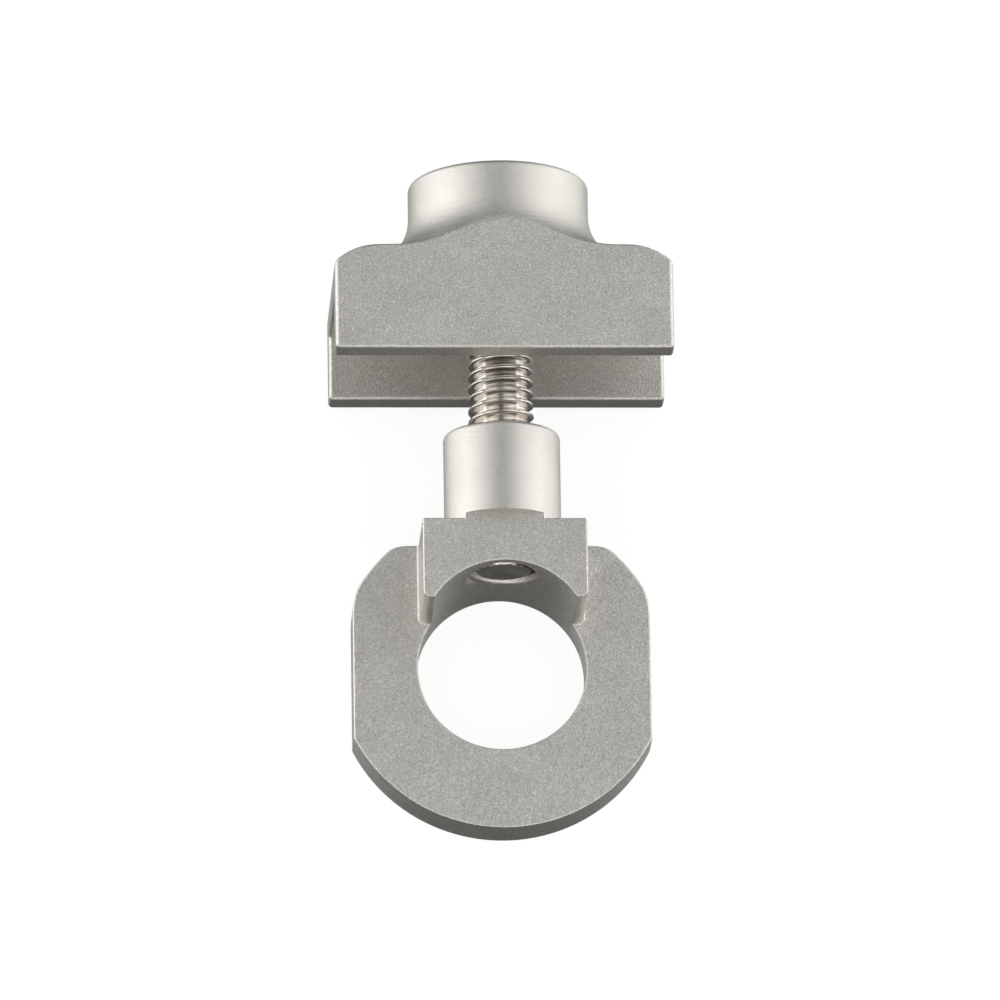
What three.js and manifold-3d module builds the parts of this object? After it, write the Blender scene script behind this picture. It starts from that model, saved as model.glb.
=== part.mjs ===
// Chain tensioner for a bicycle's rear axle, lying on its back. The eye goes over the wheel's
// axle and its block slides in the slot of the frame's dropout. The end cap straddles the
// dropout's open end, and the screw between them draws the eye and the axle towards the cap.
// X runs across, +Y along the screw towards its head, and Z up from the surface it lies on.
// The origin is on that surface, at the middle of the length.
import * as THREE from "three";
import { mergeVertices } from "three/addons/utils/BufferGeometryUtils.js";
import Module from "manifold-3d";

// Axle eye: a plate round the axle, a block that fills the dropout's slot, and a tapped stem.
const AXLE_BORE = 10;
const EYE_RIM = 4.85; // metal round the bore, out to the plate's round edge
const EYE_FLAT_CUT = 1; // how far each side flat is cut in from the round edge
const EYE_BRIDGE = 2.6; // metal between the bore and the face that carries the stem
const PLATE_THICKNESS = 2.93;
const BLOCK_SLOT_PLAY = 0.24; // the block is this much narrower than the axle
const BLOCK_LEG_FOOT = 0.69; // width of each leg of the block where it ends beside the bore
const BLOCK_LEG_ROUND = 0.4;
const BLOCK_ABOVE_AXIS = 2.58; // milled front face above the screw's axis
const STEM_DIAMETER = 6.94;
const STEM_LENGTH = 5.8;
const STEM_ROUND = 0.28;
const LEDGE_HEIGHT = 0.31; // how far the milled front face runs up into the stem's foot

// Adjuster screw: a socket head cap screw, M4, and the washer under its head.
const SCREW_DIAMETER = 4;
const SCREW_LENGTH = 20;
const THREAD_PITCH = 0.7;
const THREAD_DEPTH = 0.38;
const THREAD_UNDERSIZE = 0.1; // the thread's crests, across the diameter
const THREAD_RUNOUT = 1.4; // plain neck under the head
const TIP_CHAMFER = 0.4;
const HEAD_DIAMETER = 7;
const HEAD_HEIGHT = 4;
const HEAD_CHAMFER = 0.35;
const HEX_KEY = 3;
const HEX_DEPTH = 2;
const WASHER_THICKNESS = 0.5;
const WASHER_OVERHANG = 0.5; // washer beyond the head, all round

// End cap: a saddle for the dropout's end, with a boss that holds the screw's head.
const CAP_WIDTH = 20.06;
const CAP_BODY = 6.47; // from the mouth of the slot up to the shoulders
const CAP_WALL = 1.75;
const CAP_WEB = 3.5; // between the slot's end and the floor of the head's pocket
const SLOT_WIDTH = 8.3;
const SLOT_DEPTH = 3.85;
const CORNER_RADIUS = 3.8;
const CORNER_INSET = 2.65; // from the side face in to where the corner's arc begins
const BOSS_WALL = 1.225;
const BOSS_FILLET = 3.5;
const BOSS_ROUND = 0.35;
const BOSS_LEAD_IN = 0.2; // chamfer inside the rim

// Clearances.
const TAP_CLEARANCE = 0.05; // round the screw's nominal thread, in the eye
const TAP_COUNTERSINK = 0.3;
const WEB_CLEARANCE = 0.2; // round the screw, in the cap
const WASHER_CLEARANCE = 0.15; // round the screw, in the washer
const POCKET_CLEARANCE = 0.15; // round the washer, in the boss
const THRUST_FILM = 0.02; // between faces that turn on each other
const HEAD_SUNK = 0.05; // head below the boss's rim

// How finely curves are cut.
const ROUND_SEGMENTS = 48;
const ARC_SEGMENTS = 6;
const THREAD_SEGMENTS = 12;
const PAST = 1; // how far a cutting shape runs past the face that it opens

// Sizes and places that follow from those above. Places along Y count from the bore's centre.
const boreRadius = AXLE_BORE / 2;
const eyeRadius = boreRadius + EYE_RIM;
const eyeHalfWidth = eyeRadius - EYE_FLAT_CUT;
const eyeTop = boreRadius + EYE_BRIDGE;
const blockHalfWidth = (AXLE_BORE - BLOCK_SLOT_PLAY) / 2;
const stemRadius = STEM_DIAMETER / 2;
const stemEnd = eyeTop + STEM_LENGTH;
const capHalfThickness = SLOT_WIDTH / 2 + CAP_WALL;
const axisHeight = capHalfThickness;
const blockHeight = axisHeight + BLOCK_ABOVE_AXIS;

const tip = boreRadius;
const underHead = tip + SCREW_LENGTH;
const headEnd = underHead + HEAD_HEIGHT;
const crestRadius = (SCREW_DIAMETER - THREAD_UNDERSIZE) / 2;
const rootRadius = crestRadius - THREAD_DEPTH;
const neckRadius = crestRadius - THREAD_DEPTH / 2;
const tapRadius = SCREW_DIAMETER / 2 + TAP_CLEARANCE;
const washerRadius = HEAD_DIAMETER / 2 + WASHER_OVERHANG;
const washerTop = underHead - THRUST_FILM;
const washerFoot = washerTop - WASHER_THICKNESS;

const pocketFloor = washerFoot - THRUST_FILM;
const pocketRadius = washerRadius + POCKET_CLEARANCE;
const bossRadius = pocketRadius + BOSS_WALL;
const bossEnd = headEnd + HEAD_SUNK;
const slotEnd = pocketFloor - CAP_WEB;
const mouth = slotEnd - SLOT_DEPTH;
const shoulder = mouth + CAP_BODY;
const capHalfWidth = CAP_WIDTH / 2;
const cornerStart = capHalfWidth - CORNER_INSET;
const filletRadius = Math.min(BOSS_FILLET, bossEnd - shoulder - BOSS_ROUND);

const wasm = await Module();
wasm.setup();

// A closed geometry as a solid that can be joined and cut.
function solid(geometry) {
  const bare = new THREE.BufferGeometry();
  bare.setAttribute("position", geometry.getAttribute("position"));
  bare.setIndex(geometry.getIndex());
  const merged = mergeVertices(bare, 1e-5);
  return new wasm.Manifold(
    new wasm.Mesh({
      numProp: 3,
      vertProperties: merged.attributes.position.array,
      triVerts: new Uint32Array(merged.index.array),
    }),
  );
}

// The named piece that a finished solid makes.
function piece(name, made, look) {
  const { vertProperties, triVerts } = made.getMesh();
  const indexed = new THREE.BufferGeometry();
  indexed.setAttribute("position", new THREE.BufferAttribute(vertProperties, 3));
  indexed.setIndex(new THREE.BufferAttribute(triVerts, 1));
  const geometry = indexed.toNonIndexed();
  geometry.computeVertexNormals();
  const mesh = new THREE.Mesh(geometry, new THREE.MeshStandardMaterial(look));
  mesh.name = name;
  return mesh;
}

// A box between two corners.
function block([x0, y0, z0], [x1, y1, z1]) {
  const box = new THREE.BoxGeometry(x1 - x0, y1 - y0, z1 - z0);
  box.translate((x0 + x1) / 2, (y0 + y1) / 2, (z0 + z1) / 2);
  return solid(box);
}

// An outline in X and Y, given its height from z0 up to z1.
function raised(outline, z0, z1) {
  const options = { depth: z1 - z0, bevelEnabled: false, curveSegments: ARC_SEGMENTS };
  const made = new THREE.ExtrudeGeometry(outline, options);
  made.translate(0, 0, z0);
  return solid(made);
}

// A round disc or bore that stands upright on the bore's centre.
function upright(radius, z0, z1) {
  const made = new THREE.CylinderGeometry(radius, radius, z1 - z0, ROUND_SEGMENTS);
  made.rotateX(Math.PI / 2);
  made.translate(0, 0, (z0 + z1) / 2);
  return solid(made);
}

// A shape turned about the screw's axis from [radius, place along Y] points, axis to axis.
function turned(points, shape = (geometry) => geometry) {
  const profile = points.map(([radius, y]) => new THREE.Vector2(radius, y));
  return solid(shape(new THREE.LatheGeometry(profile, ROUND_SEGMENTS)));
}

// Points on an arc of a turned profile, from one angle to another, with 0 pointing outwards.
function arc(radius, y, size, from, to) {
  return Array.from({ length: ARC_SEGMENTS + 1 }, (_, i) => {
    const angle = from + ((to - from) * i) / ARC_SEGMENTS;
    return [radius + size * Math.cos(angle), y + size * Math.sin(angle)];
  });
}

// The plate lies against the dropout's inner side, round the axle.
function eyePlate() {
  const trim = block(
    [-eyeHalfWidth, -eyeRadius - PAST, -PAST],
    [eyeHalfWidth, eyeTop, PLATE_THICKNESS + PAST],
  );
  return upright(eyeRadius, 0, PLATE_THICKNESS).intersect(trim);
}

// The block is as wide as the dropout's slot, and its two legs end beside the bore.
function eyeBlock() {
  const legInside = blockHalfWidth - BLOCK_LEG_FOOT;
  const foot = Math.sqrt(boreRadius ** 2 - legInside ** 2);
  const roundX = blockHalfWidth - BLOCK_LEG_ROUND;
  const roundY = foot + BLOCK_LEG_ROUND;
  const outline = new THREE.Shape();
  outline.moveTo(blockHalfWidth, eyeTop);
  outline.lineTo(-blockHalfWidth, eyeTop);
  outline.absarc(-roundX, roundY, BLOCK_LEG_ROUND, Math.PI, 1.5 * Math.PI, false);
  outline.absarc(roundX, roundY, BLOCK_LEG_ROUND, 1.5 * Math.PI, 2 * Math.PI, false);
  outline.closePath();
  return raised(outline, 0, blockHeight);
}

// The stem, turned about the screw's axis, with its foot sunk in the bridge over the bore.
function eyeStem() {
  return turned([
    [0, eyeTop - EYE_BRIDGE / 2],
    [stemRadius, eyeTop - EYE_BRIDGE / 2],
    ...arc(stemRadius - STEM_ROUND, stemEnd - STEM_ROUND, STEM_ROUND, 0, Math.PI / 2),
    [0, stemEnd],
  ]).translate(0, 0, axisHeight);
}

// The cut that mills the block's front face and leaves a thin ledge across the stem's foot.
function eyeFaceCut() {
  return block(
    [-stemRadius - PAST, eyeTop - EYE_BRIDGE, blockHeight],
    [stemRadius + PAST, eyeTop + LEDGE_HEIGHT, axisHeight + stemRadius + PAST],
  );
}

// The screw's hole, from the bore out through the stem, countersunk where the screw enters.
function eyeTap() {
  return turned([
    [0, 0],
    [tapRadius, 0],
    [tapRadius, stemEnd - TAP_COUNTERSINK],
    [tapRadius + TAP_COUNTERSINK + PAST, stemEnd + PAST],
    [0, stemEnd + PAST],
  ]).translate(0, 0, axisHeight);
}

function axleEye() {
  return eyePlate()
    .add(eyeBlock())
    .add(eyeStem())
    .subtract(eyeFaceCut())
    .subtract(upright(boreRadius, -PAST, blockHeight + PAST))
    .subtract(eyeTap());
}

// How far the cap's rounded corner lies below the shoulder, at a distance across from the axis.
function cornerDrop(x) {
  const past = Math.min(Math.max(Math.abs(x) - cornerStart, 0), CORNER_RADIUS);
  return CORNER_RADIUS - Math.sqrt(CORNER_RADIUS ** 2 - past ** 2);
}

// The cap's outline seen from above: square at the mouth, with rounded corners at the shoulders.
function capSlab() {
  const cornerY = shoulder - CORNER_RADIUS;
  const sideAngle = Math.acos(Math.min(CORNER_INSET / CORNER_RADIUS, 1));
  const outline = new THREE.Shape();
  outline.moveTo(-capHalfWidth, mouth);
  outline.lineTo(capHalfWidth, mouth);
  outline.absarc(cornerStart, cornerY, CORNER_RADIUS, sideAngle, Math.PI / 2, false);
  outline.absarc(-cornerStart, cornerY, CORNER_RADIUS, Math.PI / 2, Math.PI - sideAngle, false);
  outline.closePath();
  return raised(outline, -capHalfThickness - PAST, capHalfThickness + PAST);
}

// The boss, whose wide fillet runs out over the shoulders and follows the rounded corners down.
function capBoss() {
  const lip = 0.02; // height at which the fillet's thin foot is ended
  const footAngle = 1.5 * Math.PI - Math.acos(1 - lip / filletRadius);
  const fillet = arc(
    bossRadius + filletRadius,
    shoulder + filletRadius,
    filletRadius,
    footAngle,
    Math.PI,
  );
  const profile = [
    [0, shoulder - PAST],
    [fillet[0][0], shoulder - PAST],
    ...fillet,
    ...arc(bossRadius - BOSS_ROUND, bossEnd - BOSS_ROUND, BOSS_ROUND, 0, Math.PI / 2),
    [0, bossEnd],
  ];
  return turned(profile, (geometry) => {
    const at = geometry.getAttribute("position");
    for (let i = 0; i < at.count; i++) {
      at.setY(i, at.getY(i) - cornerDrop(at.getX(i)));
    }
    return geometry;
  });
}

// The screw's hole through the web, and the pocket in the boss for the washer and the head.
function capScrewHole() {
  const webRadius = SCREW_DIAMETER / 2 + WEB_CLEARANCE;
  return turned([
    [0, slotEnd - PAST],
    [webRadius, slotEnd - PAST],
    [webRadius, pocketFloor],
    [pocketRadius, pocketFloor],
    [pocketRadius, bossEnd - BOSS_LEAD_IN],
    [pocketRadius + BOSS_LEAD_IN + PAST, bossEnd + PAST],
    [0, bossEnd + PAST],
  ]);
}

function endCap() {
  const faces = block(
    [-capHalfWidth, mouth - PAST, -capHalfThickness],
    [capHalfWidth, bossEnd + PAST, capHalfThickness],
  );
  const slot = block(
    [-capHalfWidth - PAST, mouth - PAST, -SLOT_WIDTH / 2],
    [capHalfWidth + PAST, slotEnd, SLOT_WIDTH / 2],
  );
  return capSlab().add(capBoss()).intersect(faces).subtract(slot).subtract(capScrewHole());
}

// A right-hand thread about the Y axis, a little longer than asked for at both ends.
function thread(from, to) {
  // One pitch of the thread: how far along it each edge of root and crest lies, and its radius.
  const edges = [
    [0, rootRadius],
    [0.25, rootRadius],
    [0.5625, crestRadius],
    [0.6875, crestRadius],
  ];
  const rows = edges.length * (Math.ceil((to - from) / THREAD_PITCH) + 2);
  const columnLength = rows + edges.length + 1;
  const positions = [];
  for (let i = 0; i < THREAD_SEGMENTS; i++) {
    const turn = i / THREAD_SEGMENTS;
    for (let j = 0; j < columnLength; j++) {
      const [along, radius] = edges[j % edges.length];
      const pitches = Math.floor(j / edges.length) + along + turn - 1.5;
      const angle = 2 * Math.PI * turn;
      const y = from + THREAD_PITCH * pitches;
      positions.push(radius * Math.sin(angle), y, radius * Math.cos(angle));
    }
  }
  // The last column joins the first one a whole pitch further on.
  const at = (i, j) =>
    i < THREAD_SEGMENTS ? i * columnLength + j : j + edges.length;
  const faces = [];
  for (let i = 0; i < THREAD_SEGMENTS; i++) {
    for (let j = 0; j < rows; j++) {
      faces.push(at(i, j), at(i + 1, j), at(i + 1, j + 1));
      faces.push(at(i, j), at(i + 1, j + 1), at(i, j + 1));
    }
  }
  const closeEnd = (rim) => {
    const centre = positions.length / 3;
    positions.push(0, positions[3 * rim[0] + 1], 0);
    rim.forEach((vertex, i) => faces.push(vertex, rim[(i + 1) % rim.length], centre));
  };
  const step = edges.map((_, j) => j);
  const round = Array.from({ length: THREAD_SEGMENTS }, (_, i) => i);
  closeEnd([...round.map((i) => at(THREAD_SEGMENTS - i, 0)), ...step]);
  closeEnd([...round.map((i) => at(i, rows)), ...step.map((j) => at(THREAD_SEGMENTS, rows - j))]);
  const geometry = new THREE.BufferGeometry();
  geometry.setAttribute("position", new THREE.Float32BufferAttribute(positions, 3));
  geometry.setIndex(faces);
  return solid(geometry);
}

// The threaded shank, chamfered to a flat tip.
function screwShank() {
  const threadEnd = underHead - THREAD_RUNOUT;
  const outside = crestRadius + TAP_CLEARANCE;
  const envelope = turned([
    [0, tip],
    [outside - TIP_CHAMFER, tip],
    [outside, tip + TIP_CHAMFER],
    [outside, threadEnd],
    [0, threadEnd],
  ]);
  const neck = turned([
    [0, threadEnd - THREAD_PITCH],
    [rootRadius, threadEnd - THREAD_PITCH],
    [neckRadius, threadEnd],
    [neckRadius, underHead + PAST],
    [0, underHead + PAST],
  ]);
  return thread(tip, threadEnd).intersect(envelope).add(neck);
}

// The head, with a hexagonal socket for the key.
function screwHead() {
  const headRadius = HEAD_DIAMETER / 2;
  const socketRadius = HEX_KEY / 2 / Math.cos(Math.PI / 6);
  const head = turned([
    [0, underHead],
    [headRadius, underHead],
    [headRadius, headEnd - HEAD_CHAMFER],
    [headRadius - HEAD_CHAMFER, headEnd],
    [0, headEnd],
  ]);
  const key = new THREE.CylinderGeometry(socketRadius, socketRadius, HEX_DEPTH + PAST, 6);
  key.translate(0, headEnd + (PAST - HEX_DEPTH) / 2, 0);
  return head.subtract(solid(key));
}

function adjusterScrew() {
  return screwShank().add(screwHead());
}

function thrustWasher() {
  const hole = SCREW_DIAMETER / 2 + WASHER_CLEARANCE;
  return turned([
    [hole, washerFoot],
    [washerRadius, washerFoot],
    [washerRadius, washerTop],
    [hole, washerTop],
    [hole, washerFoot],
  ]);
}

const blastedAluminium = { color: 0xb9b7b1, roughness: 0.55, metalness: 1 };
const nickelSteel = { color: 0xa9a8a4, roughness: 0.22, metalness: 1 };
const zincSteel = { color: 0xb4b4b2, roughness: 0.35, metalness: 1 };

// What lies on the screw's axis: the cap, the screw and the washer.
const screwLine = new THREE.Group();
screwLine.position.z = axisHeight;
screwLine.add(
  piece("end_cap", endCap(), blastedAluminium),
  piece("adjuster_screw", adjusterScrew(), nickelSteel),
  piece("thrust_washer", thrustWasher(), zincSteel),
);

const tensioner = new THREE.Group();
tensioner.position.y = (eyeRadius - bossEnd) / 2;
tensioner.add(piece("axle_eye", axleEye(), blastedAluminium), screwLine);

export default tensioner;
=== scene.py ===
import math

import bmesh
import bpy
from mathutils import Matrix, Vector


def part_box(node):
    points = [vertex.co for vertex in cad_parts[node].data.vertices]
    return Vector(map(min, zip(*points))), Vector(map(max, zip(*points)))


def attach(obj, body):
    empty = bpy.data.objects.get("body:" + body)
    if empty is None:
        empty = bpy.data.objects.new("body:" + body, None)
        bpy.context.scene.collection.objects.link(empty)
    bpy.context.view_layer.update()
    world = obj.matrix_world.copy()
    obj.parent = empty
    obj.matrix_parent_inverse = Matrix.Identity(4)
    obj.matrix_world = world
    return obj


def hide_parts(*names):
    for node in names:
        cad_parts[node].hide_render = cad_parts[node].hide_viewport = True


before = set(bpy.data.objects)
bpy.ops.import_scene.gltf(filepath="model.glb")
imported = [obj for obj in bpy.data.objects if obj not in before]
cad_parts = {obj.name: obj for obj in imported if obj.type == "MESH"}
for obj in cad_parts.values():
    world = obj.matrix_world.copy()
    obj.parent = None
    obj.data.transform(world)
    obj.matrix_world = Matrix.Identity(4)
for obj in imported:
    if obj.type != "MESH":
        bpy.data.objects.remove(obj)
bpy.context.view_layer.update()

# ---------------------------------------------------------------------------
# Axle eye. One piece of aluminium: a flat plate that goes round the wheel's axle, a block that
# slides in the dropout's slot, and a round stem, tapped for the screw. It is milled and turned
# from bar, has its edges broken, and is bead blasted and clear anodised.
# ---------------------------------------------------------------------------
MM = 0.001
SAME_PLACE = 1e-7

eye_low, eye_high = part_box("axle_eye")
axle_bore_radius = 5.0 * MM
plate_rim = 4.85 * MM
plate_round_radius = axle_bore_radius + plate_rim
bore_y = eye_low.y + plate_round_radius
plate_half_width = eye_high.x
stem_bridge = 2.6 * MM
plate_top_y = bore_y + axle_bore_radius + stem_bridge
plate_thickness = 2.93 * MM
plate_corner_ease = 0.5 * MM
block_half_width = 4.88 * MM
leg_foot_width = 0.69 * MM
leg_foot_round = 0.4 * MM
block_base_fillet = 0.15 * MM
screw_axis_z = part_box("end_cap")[1].z / 2
block_front_z = screw_axis_z + 2.58 * MM
stem_radius = 3.47 * MM
stem_end_y = eye_high.y
stem_end_round = 0.28 * MM
stem_ledge = 0.31 * MM
tapped_hole_radius = 2.05 * MM
tapped_hole_countersink = 0.3 * MM
eye_edge_break = 0.12 * MM
past_the_face = 1.0 * MM


def mesh_piece(name, build):
    """A new object whose mesh is filled by build(bm), with every face pointing outwards."""
    bm = bmesh.new()
    build(bm)
    bmesh.ops.remove_doubles(bm, verts=bm.verts, dist=SAME_PLACE)
    bmesh.ops.recalc_face_normals(bm, faces=bm.faces)
    mesh = bpy.data.meshes.new(name)
    bm.to_mesh(mesh)
    bm.free()
    made = bpy.data.objects.new(name, mesh)
    bpy.context.scene.collection.objects.link(made)
    return made


def raised_outline(name, outline, low, high):
    """A flat outline in X and Y, given height from low to high."""

    def build(bm):
        floor = [bm.verts.new((x, y, low)) for x, y in outline]
        roof = [bm.verts.new((x, y, high)) for x, y in outline]
        bm.faces.new(floor[::-1])
        bm.faces.new(roof)
        count = len(outline)
        for i in range(count):
            j = (i + 1) % count
            bm.faces.new((floor[i], floor[j], roof[j], roof[i]))

    return mesh_piece(name, build)


def turned_profile(name, profile, around):
    """A closed solid turned about the screw's axis, from (radius, place along Y) points."""

    def build(bm):
        rings = []
        for radius, y in profile:
            if radius == 0:
                rings.append([bm.verts.new((0, y, screw_axis_z))])
                continue
            rings.append([
                bm.verts.new((
                    radius * math.sin(2 * math.pi * i / around),
                    y,
                    screw_axis_z + radius * math.cos(2 * math.pi * i / around),
                ))
                for i in range(around)
            ])
        closed = profile[0][0] > 0
        pairs = list(zip(rings, rings[1:] + (rings[:1] if closed else [])))
        for ring, after in pairs:
            for i in range(around):
                j = (i + 1) % around
                if len(ring) == 1 and len(after) > 1:
                    bm.faces.new((ring[0], after[j], after[i]))
                elif len(after) == 1 and len(ring) > 1:
                    bm.faces.new((ring[i], ring[j], after[0]))
                elif len(ring) > 1:
                    bm.faces.new((ring[i], ring[j], after[j], after[i]))

    return mesh_piece(name, build)


def box_between(name, low, high):
    corners = [(low[0], low[1]), (high[0], low[1]), (high[0], high[1]), (low[0], high[1])]
    return raised_outline(name, corners, low[2], high[2])


def arc_points(centre_x, centre_y, radius, start, end, steps):
    """Points along an arc, in degrees, with both ends."""
    angles = [math.radians(start + (end - start) * i / steps) for i in range(steps + 1)]
    return [(centre_x + radius * math.cos(a), centre_y + radius * math.sin(a)) for a in angles]


def joined(piece, tool, operation, solver="EXACT"):
    """Joins a tool to a piece or cuts it away, and deletes the tool."""
    step = piece.modifiers.new("cut", "BOOLEAN")
    step.operation = operation
    step.object = tool
    step.solver = solver
    keep_result(piece)
    bpy.data.objects.remove(tool)


def keep_result(piece):
    """Replaces a piece's mesh with what its modifiers make of it."""
    view = bpy.context.evaluated_depsgraph_get()
    result = bpy.data.meshes.new_from_object(piece.evaluated_get(view), depsgraph=view)
    piece.modifiers.clear()
    old = piece.data
    piece.data = result
    bpy.data.meshes.remove(old)


def only_material(piece, material):
    """Gives a piece one material on all its faces."""
    piece.data.materials.clear()
    piece.data.materials.append(material)
    for face in piece.data.polygons:
        face.material_index = 0


def smooth_finish(piece, crease=22):
    """Smooth faces, sharp only at real creases, with flat faces kept flat."""
    mesh = piece.data
    mesh.shade_smooth()
    bm = bmesh.new()
    bm.from_mesh(mesh)
    bmesh.ops.dissolve_degenerate(bm, dist=1e-6, edges=bm.edges)
    for edge in bm.edges:
        edge.smooth = len(edge.link_faces) == 2 and edge.calc_face_angle(0) < math.radians(crease)
    bm.to_mesh(mesh)
    bm.free()
    weighted = piece.modifiers.new("weighted", "WEIGHTED_NORMAL")
    weighted.mode = "FACE_AREA"
    weighted.weight = 100
    weighted.keep_sharp = True
    keep_result(piece)


def offset_outline(outline, distance):
    """The outline moved outwards by a distance, or inwards if that is negative."""
    moved = []
    count = len(outline)
    for i, (x, y) in enumerate(outline):
        before, after = outline[i - 1], outline[(i + 1) % count]
        first = Vector((y - before[1], before[0] - x)).normalized()
        second = Vector((after[1] - y, x - after[0])).normalized()
        step = (first + second) / (1 + first.dot(second)) * distance
        moved.append((x + step.x, y + step.y))
    return moved


EDGE_STEPS = 5


def edge_rings(outline, low, high, edge_break, outwards):
    """Rings of an upright side from low to high, with both its edges rounded off."""
    rings = []
    for i in range(EDGE_STEPS + 1):
        turn = math.pi / 2 * i / EDGE_STEPS
        inset = edge_break * (1 - math.sin(turn)) * outwards
        height = low + edge_break * (1 - math.cos(turn))
        rings.append([(x, y, height) for x, y in offset_outline(outline, -inset)])
    for i in range(EDGE_STEPS + 1):
        turn = math.pi / 2 * i / EDGE_STEPS
        inset = edge_break * (1 - math.cos(turn)) * outwards
        height = high - edge_break * (1 - math.sin(turn))
        rings.append([(x, y, height) for x, y in offset_outline(outline, -inset)])
    return rings


def skin_between(bm, rings, closed):
    """Quads between rings that have the same number of points, and the rings' vertices."""
    loops = [[bm.verts.new(point) for point in ring] for ring in rings]
    count = len(loops[0])
    for loop, after in zip(loops, loops[1:] + (loops[:1] if closed else [])):
        for i in range(count):
            j = (i + 1) % count
            bm.faces.new((loop[i], loop[j], after[j], after[i]))
    return loops


# The plate: a round disc with a flat on each side and a flat top, skinned in one loop of rings.
PLATE_TURNS = 288
plate_corners = [
    math.atan2(math.sqrt(plate_round_radius**2 - plate_half_width**2), plate_half_width),
    math.acos((plate_top_y - bore_y) / plate_round_radius),
]
corner_turns = [plate_corners[0], math.pi / 2 - plate_corners[1]]
corner_turns += [math.pi - turn for turn in corner_turns] + [-plate_corners[0]]
corner_turns += [plate_corners[0] - math.pi]
plain_turns = [2 * math.pi * i / PLATE_TURNS - math.pi for i in range(PLATE_TURNS)]
plate_turns = sorted(corner_turns + [
    turn for turn in plain_turns
    if min(abs(turn - corner) for corner in corner_turns) > math.pi / PLATE_TURNS / 2
])


def eased_least(first, second, ease):
    """The lesser of two distances, with the corner between them rounded."""
    near = max(ease - abs(first - second), 0) / ease
    return min(first, second) - near * near * ease / 4


def plate_reach(turn):
    """How far the plate reaches from the bore's centre, in one direction."""
    flat = plate_half_width / max(abs(math.cos(turn)), 1e-6)
    if math.sin(turn) <= 0:
        return min(plate_round_radius, flat)
    reach = eased_least(plate_round_radius, flat, plate_corner_ease)
    top = (plate_top_y - bore_y) / math.sin(turn)
    return eased_least(reach, top, plate_corner_ease)


def plate_skin(bm):
    def outline(reach):
        return [
            (reach(t) * math.cos(t), bore_y + reach(t) * math.sin(t)) for t in plate_turns
        ]

    outside = edge_rings(outline(plate_reach), 0, plate_thickness, eye_edge_break, 1)
    bore = edge_rings(
        outline(lambda t: axle_bore_radius), 0, plate_thickness, eye_edge_break, -1
    )
    skin_between(bm, outside + bore[::-1], closed=True)


axle_eye = mesh_piece("eye_plate", plate_skin)

# The block: straight sides down to two feet that end beside the bore, and an arch between.
leg_inside = block_half_width - leg_foot_width
foot_rise = math.sqrt(axle_bore_radius**2 - leg_inside**2)
foot_y = bore_y + foot_rise
arch_turn = math.degrees(math.atan2(foot_rise, leg_inside))
block_corner = 0.15 * MM
block_outline = arc_points(
    block_half_width - block_corner, plate_top_y - block_corner, block_corner, 0, 90, 5
)
block_outline += arc_points(
    block_corner - block_half_width, plate_top_y - block_corner, block_corner, 90, 180, 5
)
block_outline += arc_points(
    leg_foot_round - block_half_width, foot_y + leg_foot_round, leg_foot_round, 180, 270, 8
)
block_outline += arc_points(0, bore_y, axle_bore_radius, 180 - arch_turn, arch_turn, 110)
block_outline += arc_points(
    block_half_width - leg_foot_round, foot_y + leg_foot_round, leg_foot_round, 270, 360, 8
)


# The block goes on down into the plate, and its fillet starts a hair below the plate's face.
block_root = 0.1 * MM
fillet_sink = 0.006 * MM
on_the_bore = axle_bore_radius * 1.0005


def block_flare(outline, width, height):
    """The block's outline spread outwards at its base, but not into the bore or past its top."""
    spread_out = []
    for (x, y), (wide_x, wide_y) in zip(outline, offset_outline(outline, width)):
        if math.hypot(x, y - bore_y) < on_the_bore:
            wide_x, wide_y = x, y
        spread_out.append((wide_x, min(wide_y, plate_top_y), height))
    return spread_out


def block_skin(bm):
    sunk = plate_thickness - eye_edge_break - block_root
    rings = [block_flare(block_outline, block_base_fillet, sunk)]
    for i in range(EDGE_STEPS + 1):
        turn = math.pi / 2 * i / EDGE_STEPS
        rings.append(block_flare(
            block_outline,
            block_base_fillet * (1 - math.sin(turn)),
            plate_thickness - fillet_sink + block_base_fillet * (1 - math.cos(turn)),
        ))
    sides = edge_rings(block_outline, sunk, block_front_z, eye_edge_break, 1)
    loops = skin_between(bm, rings + sides[EDGE_STEPS + 1:], closed=False)
    bm.faces.new(loops[0][::-1])
    bm.faces.new(loops[-1])


joined(axle_eye, mesh_piece("eye_block", block_skin), "UNION")

# The stem, with its front milled flat next to the block, up to a thin ledge.
stem_sunk = 1.3 * MM
stem_foot_y = plate_top_y - stem_sunk
stem_profile = [(0, stem_foot_y), (stem_radius, stem_foot_y)]
stem_profile += arc_points(
    stem_radius - stem_end_round, stem_end_y - stem_end_round, stem_end_round, 0, 90, 6
)
stem_profile += [(0, stem_end_y)]
stem = turned_profile("stem", stem_profile, around=192)
joined(
    stem,
    box_between(
        "front_face_cut",
        (-stem_radius - past_the_face, stem_foot_y - past_the_face, block_front_z),
        (stem_radius + past_the_face, plate_top_y + stem_ledge, block_front_z + stem_radius),
    ),
    "DIFFERENCE",
)
joined(axle_eye, stem, "UNION")


def shader_nodes(name):
    """A new material, its nodes and links, and its main shader."""
    material = bpy.data.materials.new(name)
    material.use_nodes = True
    nodes = material.node_tree.nodes
    return material, nodes, material.node_tree.links, nodes["Principled BSDF"]


def noise_on(nodes, links, place, grain, detail, roughness=0.5):
    """Noise with a grain of the given size in metres."""
    noise = nodes.new("ShaderNodeTexNoise")
    noise.inputs["Scale"].default_value = 1 / grain
    noise.inputs["Detail"].default_value = detail
    noise.inputs["Roughness"].default_value = roughness
    links.new(place, noise.inputs["Vector"])
    return noise.outputs["Fac"]


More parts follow.
